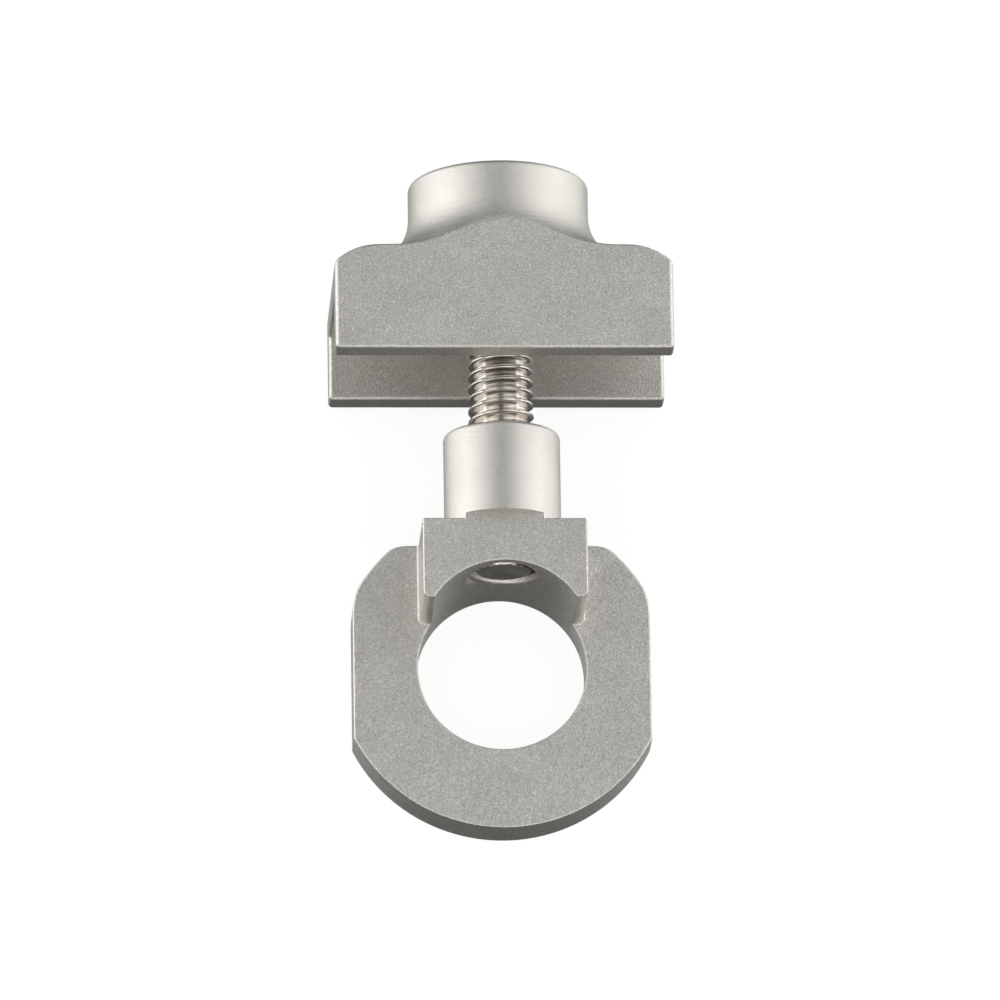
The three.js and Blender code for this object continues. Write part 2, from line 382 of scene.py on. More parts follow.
def sums_in(nodes, links):
    """A function that adds a math node to one tree and returns its result."""

    def combined(operation, *values):
        made = nodes.new("ShaderNodeMath")
        made.operation = operation
        for socket, value in zip(made.inputs, values):
            if isinstance(value, bpy.types.NodeSocket):
                links.new(value, socket)
            else:
                socket.default_value = value
        return made.outputs[0]

    return combined


def spread(nodes, links, value, low, high, dark, light, ease="LINEAR"):
    """Maps a value from low..high onto dark..light."""
    ranged = nodes.new("ShaderNodeMapRange")
    ranged.interpolation_type = ease
    ranged.inputs["From Min"].default_value = low
    ranged.inputs["From Max"].default_value = high
    ranged.inputs["To Min"].default_value = dark
    ranged.inputs["To Max"].default_value = light
    links.new(value, ranged.inputs["Value"])
    return ranged.outputs["Result"]


def colour_ramp(nodes, links, value, stops):
    """Colours blended along a value, from (place, colour) stops in rising order."""
    ramp = nodes.new("ShaderNodeValToRGB")
    elements = ramp.color_ramp.elements
    elements[0].position, elements[-1].position = stops[0][0], stops[-1][0]
    for place, colour in stops[1:-1]:
        elements.new(place)
    for element, (place, colour) in zip(elements, stops):
        element.color = (*colour, 1)
    links.new(value, ramp.inputs["Fac"])
    return ramp.outputs["Color"]


def raise_relief(nodes, links, metal, height, strength, depth):
    """Gives a shader small dents and marks of a depth in metres."""
    bump = nodes.new("ShaderNodeBump")
    bump.inputs["Strength"].default_value = strength
    bump.inputs["Distance"].default_value = depth
    links.new(height, bump.inputs["Height"])
    links.new(bump.outputs["Normal"], metal.inputs["Normal"])


def blasted_aluminium(name, turned_height=None):
    """Clear anodised aluminium with the grain that glass beads leave, and painted glints: some
    dents are given a brighter colour, as if they caught the light.

    Above turned_height the surface keeps fine lathe marks, and the beads left less on it.
    """
    dent = 0.155 * MM
    fine_grain, coarse_grain, cloud_size = dent * 0.62, dent * 2.6, dent * 20
    dent_depth = 0.0125 * MM
    dent_share = 0.8
    coarse_share = 0.13
    painted_glint_share = 0.13
    painted_glint_light = 0.27
    turned_fade = 0.5 * MM
    front_face_margin = (0.16 * MM, 0.08 * MM)
    lathe_pitch = 0.10 * MM
    lathe_run = (0.05, 1.0, 0.05)
    lathe_depth = 1.6
    lathe_cleans_off = 0.72
    smoothest, roughest = 0.38, 0.52
    material, nodes, links, metal = shader_nodes(name)
    place = nodes.new("ShaderNodeTexCoord").outputs["Object"]
    metal.inputs["Metallic"].default_value = 1.0
    combined = sums_in(nodes, links)

    # Dents of the beads: one cell for each dent, with a finer grain over all.
    cells = nodes.new("ShaderNodeTexVoronoi")
    cells.inputs["Scale"].default_value = 1 / dent
    links.new(place, cells.inputs["Vector"])
    fine = noise_on(nodes, links, place, fine_grain, 2, 0.65)
    relief = combined("ADD", combined("MULTIPLY", cells.outputs["Distance"], dent_share), fine)
    blasted = 1.0
    if turned_height is not None:
        spot = nodes.new("ShaderNodeSeparateXYZ")
        links.new(place, spot.inputs[0])
        high = spread(
            nodes, links, spot.outputs["Y"], turned_height, turned_height + turned_fade, 0, 1
        )
        off_axis = combined("ABSOLUTE", combined("SUBTRACT", spot.outputs["Z"], screw_axis_z))
        inner, outer = (screw_axis_z - margin for margin in front_face_margin)
        inside = spread(nodes, links, off_axis, inner, outer, 1, 0)
        turned = combined("MULTIPLY", high, inside)
        blasted = combined("SUBTRACT", 1.0, combined("MULTIPLY", turned, lathe_cleans_off))
        along = nodes.new("ShaderNodeMapping")
        along.inputs["Scale"].default_value = lathe_run
        links.new(place, along.inputs["Vector"])
        marks = noise_on(nodes, links, along.outputs["Vector"], lathe_pitch, 3, 0.7)
        marks = combined("MULTIPLY", combined("MULTIPLY", marks, turned), lathe_depth)
        relief = combined("ADD", combined("MULTIPLY", relief, blasted), marks)
    raise_relief(nodes, links, metal, relief, strength=1.0, depth=dent_depth)

    # Colour: warm grey, lighter and darker from grain to grain and slightly in broad clouds.
    coarse = noise_on(nodes, links, place, coarse_grain, 2, 0.6)
    cloud = noise_on(nodes, links, place, cloud_size, 3)
    grain_and_glint = combined(
        "ADD",
        combined("MULTIPLY", fine, 1 - coarse_share),
        combined("MULTIPLY", coarse, coarse_share),
    )
    grain_and_glint = combined(
        "ADD", combined("MULTIPLY", combined("SUBTRACT", grain_and_glint, 0.5), blasted), 0.5
    )
    # Painted glints: here and there a dent is given a brighter colour, as if it caught the light.
    chance = nodes.new("ShaderNodeSeparateColor")
    links.new(cells.outputs["Color"], chance.inputs[0])
    painted_glint = combined("GREATER_THAN", chance.outputs[0], 1 - painted_glint_share)
    near = spread(nodes, links, cells.outputs["Distance"], 0.15, 0.5, 1, 0)
    painted_glint = combined("MULTIPLY", combined("MULTIPLY", painted_glint, near), painted_glint_light)
    grain_and_glint = combined("ADD", grain_and_glint, combined("MULTIPLY", painted_glint, blasted))
    # The painted glints carry the colour up towards the ramp's top stop.
    tint = colour_ramp(nodes, links, grain_and_glint, [
        (0.33, (0.575, 0.562, 0.535)),
        (0.70, (0.885, 0.868, 0.825)),
        (1.0, (1.0, 0.985, 0.945)),
    ])
    cloudy = colour_ramp(nodes, links, cloud, [
        (0.35, (0.93, 0.93, 0.925)),
        (0.68, (1.0, 1.0, 1.0)),
    ])
    shade = nodes.new("ShaderNodeMix")
    shade.data_type = "RGBA"
    shade.blend_type = "MULTIPLY"
    shade.inputs["Factor"].default_value = 1.0
    # Sockets 6 and 7 are the node's two colours, and output 2 is their product.
    links.new(tint, shade.inputs[6])
    links.new(cloudy, shade.inputs[7])
    links.new(shade.outputs[2], metal.inputs["Base Color"])
    rough = spread(nodes, links, fine, 0.3, 0.7, smoothest, roughest)
    links.new(rough, metal.inputs["Roughness"])
    return material


eye_finish = blasted_aluminium("blasted_aluminium_eye", plate_top_y)


class TreeWriter:
    """Writes a geometry node tree with named number inputs, for a new piece or on one."""

    def __init__(self, name, sizes, piece=None):
        self.tree = bpy.data.node_groups.new(name, "GeometryNodeTree")
        self.sizes = sizes
        self.piece = piece
        if piece:
            self.tree.interface.new_socket(
                "Geometry", in_out="INPUT", socket_type="NodeSocketGeometry"
            )
        for label in sizes:
            self.tree.interface.new_socket(label, in_out="INPUT", socket_type="NodeSocketFloat")
        self.tree.interface.new_socket(
            "Geometry", in_out="OUTPUT", socket_type="NodeSocketGeometry"
        )
        self.start = self.tree.nodes.new("NodeGroupInput")
        self.end = self.tree.nodes.new("NodeGroupOutput")
        self.math = sums_in(self.tree.nodes, self.tree.links)

    def size(self, label):
        return self.start.outputs[label]

    def node(self, kind, **settings):
        made = self.tree.nodes.new(kind)
        for key, value in settings.items():
            setattr(made, key, value)
        return made

    def put(self, socket, value):
        if isinstance(value, bpy.types.NodeSocket):
            self.tree.links.new(value, socket)
        else:
            socket.default_value = value

    def finish(self, geometry, material):
        """Ends the tree, and returns the plain mesh that it makes."""
        realize = self.node("GeometryNodeRealizeInstances")
        paint = self.node("GeometryNodeSetMaterial")
        paint.inputs["Material"].default_value = material
        self.put(realize.inputs["Geometry"], geometry)
        self.put(paint.inputs["Geometry"], realize.outputs["Geometry"])
        self.put(self.end.inputs[0], paint.outputs["Geometry"])
        name = self.tree.name
        made = self.piece
        if not made:
            made = bpy.data.objects.new(name, bpy.data.meshes.new(name))
            bpy.context.scene.collection.objects.link(made)
        step = made.modifiers.new("nodes", "NODES")
        step.node_group = self.tree
        for item in self.tree.interface.items_tree:
            if item.in_out == "INPUT" and item.name in self.sizes:
                step[item.identifier] = float(self.sizes[item.name])
        keep_result(made)
        return made


def helical_thread(name, sizes, rows, around, material):
    """A threaded rod about the screw's axis, from its flat tip to the end of its neck.

    It is a grid whose rows run along the helix, so each row keeps one radius of the thread.
    Rows past either end are gathered into the flat tip and the closed end of the neck.
    """
    tree = TreeWriter(name, sizes)
    spare_turns = 3
    root_flat, crest_flat = 0.10, 0.10
    merge_within = 0.0005 * MM
    turns_long = math.ceil((sizes["Neck end"] - sizes["Tip"]) / sizes["Pitch"]) + 2 * spare_turns
    row_count = rows * turns_long + 1
    grid = tree.node("GeometryNodeMeshGrid")
    grid.inputs["Vertices X"].default_value = around + 1
    grid.inputs["Vertices Y"].default_value = row_count
    index = tree.node("GeometryNodeInputIndex").outputs[0]
    row = tree.math("MODULO", index, row_count)
    column = tree.math("FLOOR", tree.math("DIVIDE", tree.math("ADD", index, 0.5), row_count))
    turn = tree.math("DIVIDE", column, around)
    pitches = tree.math("ADD", tree.math("DIVIDE", row, rows), turn)
    from_the_tip = tree.math("SUBTRACT", pitches, spare_turns)
    along = tree.math(
        "ADD", tree.math("MULTIPLY", from_the_tip, tree.size("Pitch")), tree.size("Tip")
    )
    phase = tree.math("FRACT", tree.math("DIVIDE", row, rows))
    # A narrow flat root and crest, with soft flanks: the rise runs up and down over the pitch.
    ramp = tree.math("PINGPONG", tree.math("MULTIPLY", phase, 2), 1)
    rise_node = tree.node("ShaderNodeMapRange", interpolation_type="SMOOTHSTEP")
    tree.put(rise_node.inputs["Value"], ramp)
    rise_node.inputs["From Min"].default_value = root_flat
    rise_node.inputs["From Max"].default_value = 1 - crest_flat
    rise_node.inputs["To Min"].default_value = 0.0
    rise_node.inputs["To Max"].default_value = 1.0
    rise = rise_node.outputs["Result"]
    root = tree.math("SUBTRACT", tree.size("Crest radius"), tree.size("Thread depth"))
    threaded = tree.math("ADD", root, tree.math("MULTIPLY", rise, tree.size("Thread depth")))
    # The thread fades into the plain neck over one pitch.
    fade_node = tree.node("ShaderNodeMapRange", interpolation_type="SMOOTHSTEP")
    tree.put(fade_node.inputs["Value"], along)
    tree.put(
        fade_node.inputs["From Min"],
        tree.math("SUBTRACT", tree.size("Thread end"), tree.size("Pitch")),
    )
    tree.put(fade_node.inputs["From Max"], tree.size("Thread end"))
    fade = fade_node.outputs["Result"]
    body = tree.math(
        "ADD",
        tree.math("MULTIPLY", threaded, tree.math("SUBTRACT", 1, fade)),
        tree.math("MULTIPLY", tree.size("Neck radius"), fade),
    )
    # The chamfer at the tip, and past it the flat end, gathered to the middle over one pitch.
    tip_radius = tree.math("SUBTRACT", tree.size("Crest radius"), tree.size("Chamfer"))
    past_tip = tree.math("SUBTRACT", along, tree.size("Tip"))
    chamfered = tree.math("ADD", tip_radius, tree.math("MAXIMUM", past_tip, 0))
    before_tip = tree.math("MAXIMUM", tree.math("MULTIPLY", past_tip, -1), 0)
    tip_share = tree.math("DIVIDE", before_tip, tree.size("Pitch"))
    past_neck = tree.math("MAXIMUM", tree.math("SUBTRACT", along, tree.size("Neck end")), 0)
    neck_share = tree.math("DIVIDE", past_neck, tree.size("Pitch"))
    open_share = tree.math(
        "MAXIMUM", tree.math("SUBTRACT", 1, tree.math("ADD", tip_share, neck_share)), 0
    )
    radius = tree.math("MULTIPLY", tree.math("MINIMUM", body, chamfered), open_share)
    held_y = tree.math("MAXIMUM", along, tree.size("Tip"))
    held_y = tree.math("MINIMUM", held_y, tree.size("Neck end"))
    angle = tree.math("MULTIPLY", turn, 2 * math.pi)
    place = tree.node("ShaderNodeCombineXYZ")
    tree.put(place.inputs["X"], tree.math("MULTIPLY", radius, tree.math("SINE", angle)))
    tree.put(place.inputs["Y"], held_y)
    upward = tree.math("MULTIPLY", radius, tree.math("COSINE", angle))
    tree.put(place.inputs["Z"], tree.math("ADD", upward, tree.size("Axis height")))
    moved = tree.node("GeometryNodeSetPosition")
    tree.put(moved.inputs["Geometry"], grid.outputs["Mesh"])
    tree.put(moved.inputs["Position"], place.outputs["Vector"])
    merged = tree.node("GeometryNodeMergeByDistance")
    tree.put(merged.inputs["Geometry"], moved.outputs["Geometry"])
    merged.inputs["Distance"].default_value = merge_within
    return tree.finish(merged.outputs["Geometry"], material)


# The thread is cut by a tap that runs in step with the screw, so crest stands over groove.
screw_tip_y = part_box("adjuster_screw")[0].y
thread_pitch = 0.7 * MM
tap_groove = 0.2 * MM
tap_tip_y = screw_tip_y - math.ceil((screw_tip_y - bore_y) / thread_pitch) * thread_pitch
tap = helical_thread("tap", {
    "Pitch": thread_pitch,
    "Crest radius": tapped_hole_radius + tap_groove,
    "Thread depth": tap_groove,
    "Neck radius": tapped_hole_radius,
    "Tip": tap_tip_y,
    "Thread end": stem_end_y + 3 * thread_pitch,
    "Neck end": stem_end_y + 4 * thread_pitch,
    "Chamfer": 0.0,
    "Axis height": screw_axis_z,
}, rows=12, around=72, material=eye_finish)
joined(axle_eye, tap, "DIFFERENCE", "MANIFOLD")
countersink = [
    (0, stem_end_y - tapped_hole_radius - tapped_hole_countersink),
    (tapped_hole_radius + tapped_hole_countersink + past_the_face, stem_end_y + past_the_face),
    (0, stem_end_y + past_the_face),
]
countersink_tool = turned_profile("countersink", countersink, around=96)
joined(axle_eye, countersink_tool, "DIFFERENCE", "MANIFOLD")
smooth_finish(axle_eye)
only_material(axle_eye, eye_finish)
axle_eye.name = "axle_eye_fine"
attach(axle_eye, "eye")
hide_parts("axle_eye")

# ---------------------------------------------------------------------------
# End cap. A saddle that straddles the dropout's open end, with a boss for the screw's head and
# a wide fillet between the two. It is milled from aluminium bar, then bored and counterbored
# for the screw, and bead blasted and clear anodised like the eye.
# ---------------------------------------------------------------------------
cap_low, cap_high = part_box("end_cap")
cap_half_width = cap_high.x
cap_half_thickness = screw_axis_z
mouth_y = cap_low.y
boss_end_y = cap_high.y
shoulder_y = mouth_y + 6.47 * MM
slot_end_y = mouth_y + 3.85 * MM
slot_half_width = 4.15 * MM
web_hole_radius = 2.2 * MM
pocket_floor_y = slot_end_y + 3.5 * MM
pocket_radius = 4.15 * MM
boss_radius = 5.375 * MM
boss_round = 0.35 * MM
boss_lead_in = 0.2 * MM
boss_fillet = 3.5 * MM
corner_radius = 3.8 * MM
corner_start_x = cap_half_width - 2.65 * MM
cap_edge_break = 0.22 * MM
cap_upright_round = 0.26 * MM
FILLET_STEPS = 26
SHOULDER_STEPS = 10


def shoulder_height(x, z):
    """The top of the cap beside the boss: the shoulder, its rounded corners and the fillet."""
    past = min(max(abs(x) - corner_start_x, 0), corner_radius)
    drop = corner_radius - math.sqrt(corner_radius**2 - past**2)
    inward = boss_radius + boss_fillet - math.hypot(x, z)
    inward = min(max(inward, 0), boss_fillet)
    rise = boss_fillet - math.sqrt(boss_fillet**2 - inward**2)
    return shoulder_y - drop + rise


def cap_outline(inset):
    """The cap seen along the screw: (x, z) points of a rectangle with slightly round corners."""
    inner_x = cap_half_width - cap_upright_round
    inner_z = cap_half_thickness - cap_upright_round
    corner_turn = math.degrees(math.atan2(inner_z, cap_half_width))
    front_turn = math.degrees(math.atan2(cap_half_thickness, inner_x))
    side_steps, corner_steps, front_steps = 14, 6, 38
    quarter = []
    for i in range(side_steps):
        turn = math.radians(corner_turn * i / side_steps)
        quarter.append((cap_half_width - inset, cap_half_width * math.tan(turn)))
    quarter += arc_points(inner_x, inner_z, cap_upright_round - inset, 0, 90, corner_steps)
    for i in range(1, front_steps):
        turn = math.radians(front_turn + (90 - front_turn) * i / front_steps)
        quarter.append((cap_half_thickness / math.tan(turn), cap_half_thickness - inset))
    points = quarter + [(0, cap_half_thickness - inset)]
    points += [(-x, z) for x, z in reversed(quarter[1:])]
    points += [(-x, -z) for x, z in quarter]
    points += [(0, inset - cap_half_thickness)]
    points += [(x, -z) for x, z in reversed(quarter[1:])]
    return points


def on_top(edge_point, radius, turn):
    """A point of the cap's top at a radius, or at the cap's edge where that comes first."""
    radius = min(radius, math.hypot(*edge_point))
    x, z = radius * math.cos(turn), radius * math.sin(turn)
    return (x, shoulder_height(x, z), z)


def fill_thin(bm, corners):
    """A face whose corners may share a place: only the separate ones are joined."""
    kept = []
    for corner in corners:
        if all((corner.co - other.co).length > SAME_PLACE for other in kept):
            kept.append(corner)
    if len(kept) > 2:
        bm.faces.new(kept)


def cap_skin(bm):
    """The cap's skin in rings, from the screw's hole up over the boss and out to the sides."""
    outer = cap_outline(0)
    inner = cap_outline(cap_edge_break)
    turns = [math.atan2(z, x) for x, z in inner]

    def ring(radius, y):
        return [(radius * math.cos(t), y, radius * math.sin(t)) for t in turns]

    rings = [
        ring(web_hole_radius, slot_end_y - past_the_face),
        ring(web_hole_radius, pocket_floor_y),
        ring(pocket_radius, pocket_floor_y),
        ring(pocket_radius, boss_end_y - boss_lead_in),
        ring(pocket_radius + boss_lead_in, boss_end_y),
    ]
    rim = arc_points(boss_radius - boss_round, boss_end_y - boss_round, boss_round, 90, 0, 6)
    rings += [ring(radius, y) for radius, y in rim]
    for i in range(FILLET_STEPS + 1):
        turn = math.pi - (math.pi / 2) * i / FILLET_STEPS
        radius = boss_radius + boss_fillet * (1 + math.cos(turn))
        rings.append([on_top(point, radius, t) for point, t in zip(inner, turns)])
    foot = boss_radius + boss_fillet
    for i in range(1, SHOULDER_STEPS + 1):
        share = i / SHOULDER_STEPS
        rings.append([
            on_top(point, foot + (math.hypot(*point) - foot) * share, t)
            if math.hypot(*point) > foot else (point[0], shoulder_height(*point), point[1])
            for point, t in zip(inner, turns)
        ])
    for i in range(1, EDGE_STEPS + 1):
        share = i / EDGE_STEPS
        rounded = []
        for start, end in zip(inner, outer):
            x = start[0] + (end[0] - start[0]) * (1 - (1 - share) ** 2)
            z = start[1] + (end[1] - start[1]) * (1 - (1 - share) ** 2)
            start_y, end_y = shoulder_height(*start), shoulder_height(*end)
            y = (1 - share) ** 2 * start_y + 2 * share * (1 - share) * end_y
            y += share**2 * (end_y - cap_edge_break)
            rounded.append((x, y, z))
        rings.append(rounded)
    rings.append([(x, mouth_y, z) for x, z in outer])
    rings.append(ring(web_hole_radius, mouth_y))

    loops = [
        [bm.verts.new((x, y, screw_axis_z + z)) for x, y, z in points] for points in rings
    ]
    count = len(turns)
    for loop, after in zip(loops, loops[1:] + loops[:1]):
        for i in range(count):
            j = (i + 1) % count
            corners = (loop[i], loop[j], after[j], after[i])
            steps = ((loop[i], after[i]), (loop[j], after[j]))
            if any((a.co - b.co).length < SAME_PLACE for a, b in steps):
                fill_thin(bm, corners)
            else:
                bm.faces.new(corners)


def outside_corners(bm, sharpest_flat):
    """The edges where two faces meet at an outside corner."""
    found = []
    for edge in bm.edges:
        if len(edge.link_faces) == 2 and edge.calc_face_angle_signed(0) > sharpest_flat:
            found.append(edge)
    return found


def break_edges(piece, width, steps, wanted):
    """Rounds off the outside corners of a piece, after flat faces are made whole."""
    flat_within, corner_over = math.radians(0.05), math.radians(24)
    bm = bmesh.new()
    bm.from_mesh(piece.data)
    bmesh.ops.remove_doubles(bm, verts=bm.verts, dist=SAME_PLACE)
    bmesh.ops.dissolve_limit(bm, angle_limit=flat_within, verts=bm.verts, edges=bm.edges)
    corners = [edge for edge in outside_corners(bm, corner_over) if wanted(edge)]
    bmesh.ops.bevel(
        bm,
        geom=corners,
        offset=width,
        offset_type="OFFSET",
        segments=steps,
        profile=0.5,
        affect="EDGES",
        clamp_overlap=False,
    )
    bmesh.ops.remove_doubles(bm, verts=bm.verts, dist=SAME_PLACE)
    bm.to_mesh(piece.data)
    bm.free()


def slot_or_mouth(edge):
    """Whether an edge belongs to the slot or to the cap's mouth, but not to the screw's hole."""
    tolerance, hole_margin = 0.01 * MM, 0.8 * MM
    highest = max(v.co.y for v in edge.verts)
    nearest = min(math.hypot(v.co.x, v.co.z - screw_axis_z) for v in edge.verts)
    return highest < slot_end_y + tolerance and nearest > web_hole_radius + hole_margin


end_cap = mesh_piece("cap_body", cap_skin)
joined(
    end_cap,
    box_between(
        "dropout_slot",
        (
            -cap_half_width - past_the_face,
            mouth_y - past_the_face,
            screw_axis_z - slot_half_width,
        ),
        (cap_half_width + past_the_face, slot_end_y, screw_axis_z + slot_half_width),
    ),
    "DIFFERENCE",
)
break_edges(end_cap, cap_edge_break, steps=EDGE_STEPS, wanted=slot_or_mouth)
smooth_finish(end_cap)
turned_from_y = shoulder_y + 0.4 * MM
only_material(end_cap, blasted_aluminium("blasted_aluminium_cap", turned_from_y))
end_cap.name = "end_cap_fine"
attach(end_cap, "cap")
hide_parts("end_cap")

# ---------------------------------------------------------------------------
# Adjuster screw. A nickel plated steel socket head screw, M4 by 20, with a rolled thread, a
# knurled head and a 3 mm hexagon socket. It is screwed through the end cap into the eye's stem.
# ---------------------------------------------------------------------------
head_top_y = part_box("adjuster_screw")[1].y
under_head_y = head_top_y - 4.0 * MM
thread_crest_radius = 1.95 * MM
thread_depth = 0.38 * MM
thread_end_y = under_head_y - 1.4 * MM
neck_radius = thread_crest_radius - thread_depth / 2
tip_chamfer = 0.4 * MM
head_radius = 3.5 * MM
head_chamfer = 0.35 * MM
head_foot_chamfer = 0.1 * MM
knurl_start_y = under_head_y + 0.25 * MM
knurl_end_y = head_top_y - head_chamfer - 0.2 * MM
knurl_depth = 0.07 * MM
knurl_teeth = 60
hexagon_key = 3.0 * MM
hexagon_depth = 2.0 * MM
socket_chamfer = 0.06 * MM


def bright_steel(name, roughness, scratch_depth):
    """Plated steel: bright, with faint marks left by rolling and handling."""
    material, nodes, links, metal = shader_nodes(name)
    place = nodes.new("ShaderNodeTexCoord").outputs["Object"]
    metal.inputs["Metallic"].default_value = 1.0
    stretch = nodes.new("ShaderNodeMapping")
    stretch.inputs["Scale"].default_value = (1.0, 7.0, 1.0)
    links.new(place, stretch.inputs["Vector"])
    marks = noise_on(nodes, links, stretch.outputs["Vector"], 0.35 * MM, 4, 0.6)
    stain = noise_on(nodes, links, place, 1.2 * MM, 3)
    tint = colour_ramp(nodes, links, stain, [
        (0.35, (0.60, 0.56, 0.51)),
        (0.66, (0.80, 0.77, 0.73)),
    ])
    links.new(tint, metal.inputs["Base Color"])
    worn = spread(nodes, links, marks, 0.3, 0.7, roughness, roughness + 0.10)
    links.new(worn, metal.inputs["Roughness"])
    raise_relief(nodes, links, metal, marks, strength=0.6, depth=scratch_depth)
    return material


screw_finish = bright_steel("nickel_plated_steel", roughness=0.12, scratch_depth=0.006 * MM)

adjuster_screw = helical_thread("screw_shank", {
    "Pitch": thread_pitch,
    "Crest radius": thread_crest_radius,
    "Thread depth": thread_depth,
    "Neck radius": neck_radius,
    "Tip": screw_tip_y,
    "Thread end": thread_end_y,
    "Neck end": under_head_y + past_the_face,
    "Chamfer": tip_chamfer,
    "Axis height": screw_axis_z,
}, rows=16, around=72, material=screw_finish)

# The head's skin is a grid wrapped round the axis, with its side pressed into knurled teeth.
head_profile = [
    (0, under_head_y),
    (head_radius - head_foot_chamfer, under_head_y),
    (head_radius, under_head_y + head_foot_chamfer),
    (head_radius, knurl_start_y),
    (head_radius, knurl_end_y),
]
head_profile += arc_points(
    head_radius - head_chamfer, head_top_y - head_chamfer, head_chamfer, 0, 90, 8
)
head_profile += [(0, head_top_y)]
screw_head = turned_profile("screw_head", head_profile, around=knurl_teeth * 6)
between_rings = 0.05 * MM
knurl = TreeWriter("knurled_head", {
    "Teeth": knurl_teeth,
    "Depth": knurl_depth,
    "From": knurl_start_y - between_rings,
    "To": knurl_end_y + between_rings,
    "Axis height": screw_axis_z,
}, screw_head)
spot = knurl.node("ShaderNodeSeparateXYZ")
knurl.put(spot.inputs["Vector"], knurl.node("GeometryNodeInputPosition").outputs[0])
across, along, upward = spot.outputs
upward = knurl.math("SUBTRACT", upward, knurl.size("Axis height"))
tooth = knurl.math(
    "COSINE", knurl.math("MULTIPLY", knurl.math("ARCTAN2", across, upward), knurl.size("Teeth"))
)
pressed = knurl.math("MULTIPLY", knurl.math("ADD", tooth, 1), 0.5)
distance = knurl.math(
    "SQRT",
    knurl.math(
        "ADD", knurl.math("MULTIPLY", across, across), knurl.math("MULTIPLY", upward, upward)
    ),
)
on_side = knurl.math(
    "MULTIPLY",
    knurl.math("GREATER_THAN", along, knurl.size("From")),
    knurl.math("LESS_THAN", along, knurl.size("To")),
)
inward = knurl.math(
    "DIVIDE",
    knurl.math("MULTIPLY", knurl.math("MULTIPLY", pressed, on_side), knurl.size("Depth")),
    knurl.math("MULTIPLY", distance, -1),
)
shift = knurl.node("ShaderNodeCombineXYZ")
knurl.put(shift.inputs["X"], knurl.math("MULTIPLY", across, inward))
knurl.put(shift.inputs["Z"], knurl.math("MULTIPLY", upward, inward))
pressed_in = knurl.node("GeometryNodeSetPosition")
knurl.put(pressed_in.inputs["Geometry"], knurl.size("Geometry"))
knurl.put(pressed_in.inputs["Offset"], shift.outputs["Vector"])
screw_head = knurl.finish(pressed_in.outputs["Geometry"], screw_finish)

joined(adjuster_screw, screw_head, "UNION", "MANIFOLD")
hexagon_radius = hexagon_key / 2 / math.cos(math.pi / 6)
hexagon_floor_y = head_top_y - hexagon_depth
drill_point = 0.35 * MM
hexagon = [
    (0, hexagon_floor_y - drill_point),
    (hexagon_radius, hexagon_floor_y),
    (hexagon_radius, head_top_y + past_the_face),
    (0, head_top_y + past_the_face),
]
hexagon_tool = turned_profile("hexagon", hexagon, around=6)
joined(adjuster_screw, hexagon_tool, "DIFFERENCE", "MANIFOLD")
socket_mouth = hexagon_radius + socket_chamfer
mouth_cone = [
    (0, head_top_y - socket_mouth),
    (socket_mouth + past_the_face, head_top_y + past_the_face),
    (0, head_top_y + past_the_face),
]
mouth_tool = turned_profile("socket_mouth", mouth_cone, around=96)
joined(adjuster_screw, mouth_tool, "DIFFERENCE", "MANIFOLD")
smooth_finish(adjuster_screw, crease=33)
only_material(adjuster_screw, screw_finish)
adjuster_screw.name = "adjuster_screw_fine"
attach(adjuster_screw, "screw")
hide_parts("adjuster_screw")

# ---------------------------------------------------------------------------
# Thrust washer. A plain steel washer under the screw's head, stamped from sheet, so one face has
# a rolled edge and the other a crisp one, then zinc plated. The screw turns on it in the boss.
# ---------------------------------------------------------------------------
washer_low, washer_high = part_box("thrust_washer")
washer_radius = washer_high.x
washer_hole_radius = 2.15 * MM
washer_rolled_edge = 0.14 * MM
washer_crisp_edge = 0.04 * MM

washer_profile = arc_points(
    washer_radius - washer_rolled_edge, washer_high.y - washer_rolled_edge,
    washer_rolled_edge, 90, 0, 5,
)
washer_profile += arc_points(
    washer_radius - washer_crisp_edge, washer_low.y + washer_crisp_edge,
    washer_crisp_edge, 0, -90, 3,
)
washer_profile += arc_points(
    washer_hole_radius + washer_crisp_edge, washer_low.y + washer_crisp_edge,
    washer_crisp_edge, 270, 180, 3,
)
washer_profile += arc_points(
    washer_hole_radius + washer_rolled_edge, washer_high.y - washer_rolled_edge,
    washer_rolled_edge, 180, 90, 5,
)
thrust_washer = turned_profile("thrust_washer_fine", washer_profile, around=144)
smooth_finish(thrust_washer)
washer_finish = bright_steel("zinc_plated_steel", roughness=0.3, scratch_depth=0.02 * MM)
only_material(thrust_washer, washer_finish)
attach(thrust_washer, "washer")
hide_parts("thrust_washer")

# ---------------------------------------------------------------------------
# Studio. A plain white floor under the part, a room of soft light round it, a weak soft box on
# each side, and a camera that looks almost straight down, from a little past the eye's end.
# ---------------------------------------------------------------------------
floor_half = 6.0


def split_by_camera(nodes, links, lights, shows, output):
    """Rays from the camera meet one shader, and all others meet the one that lights the part."""
    either = nodes.new("ShaderNodeMixShader")
    links.new(nodes.new("ShaderNodeLightPath").outputs["Is Camera Ray"], either.inputs[0])
    links.new(lights.outputs[0], either.inputs[1])
    links.new(shows.outputs[0], either.inputs[2])
    links.new(either.outputs[0], nodes[output].inputs["Surface"])


def studio_floor(bm):
    corners = [(-1, -1), (1, -1), (1, 1), (-1, 1)]
    bm.faces.new([bm.verts.new((x * floor_half, y * floor_half, 0)) for x, y in corners])


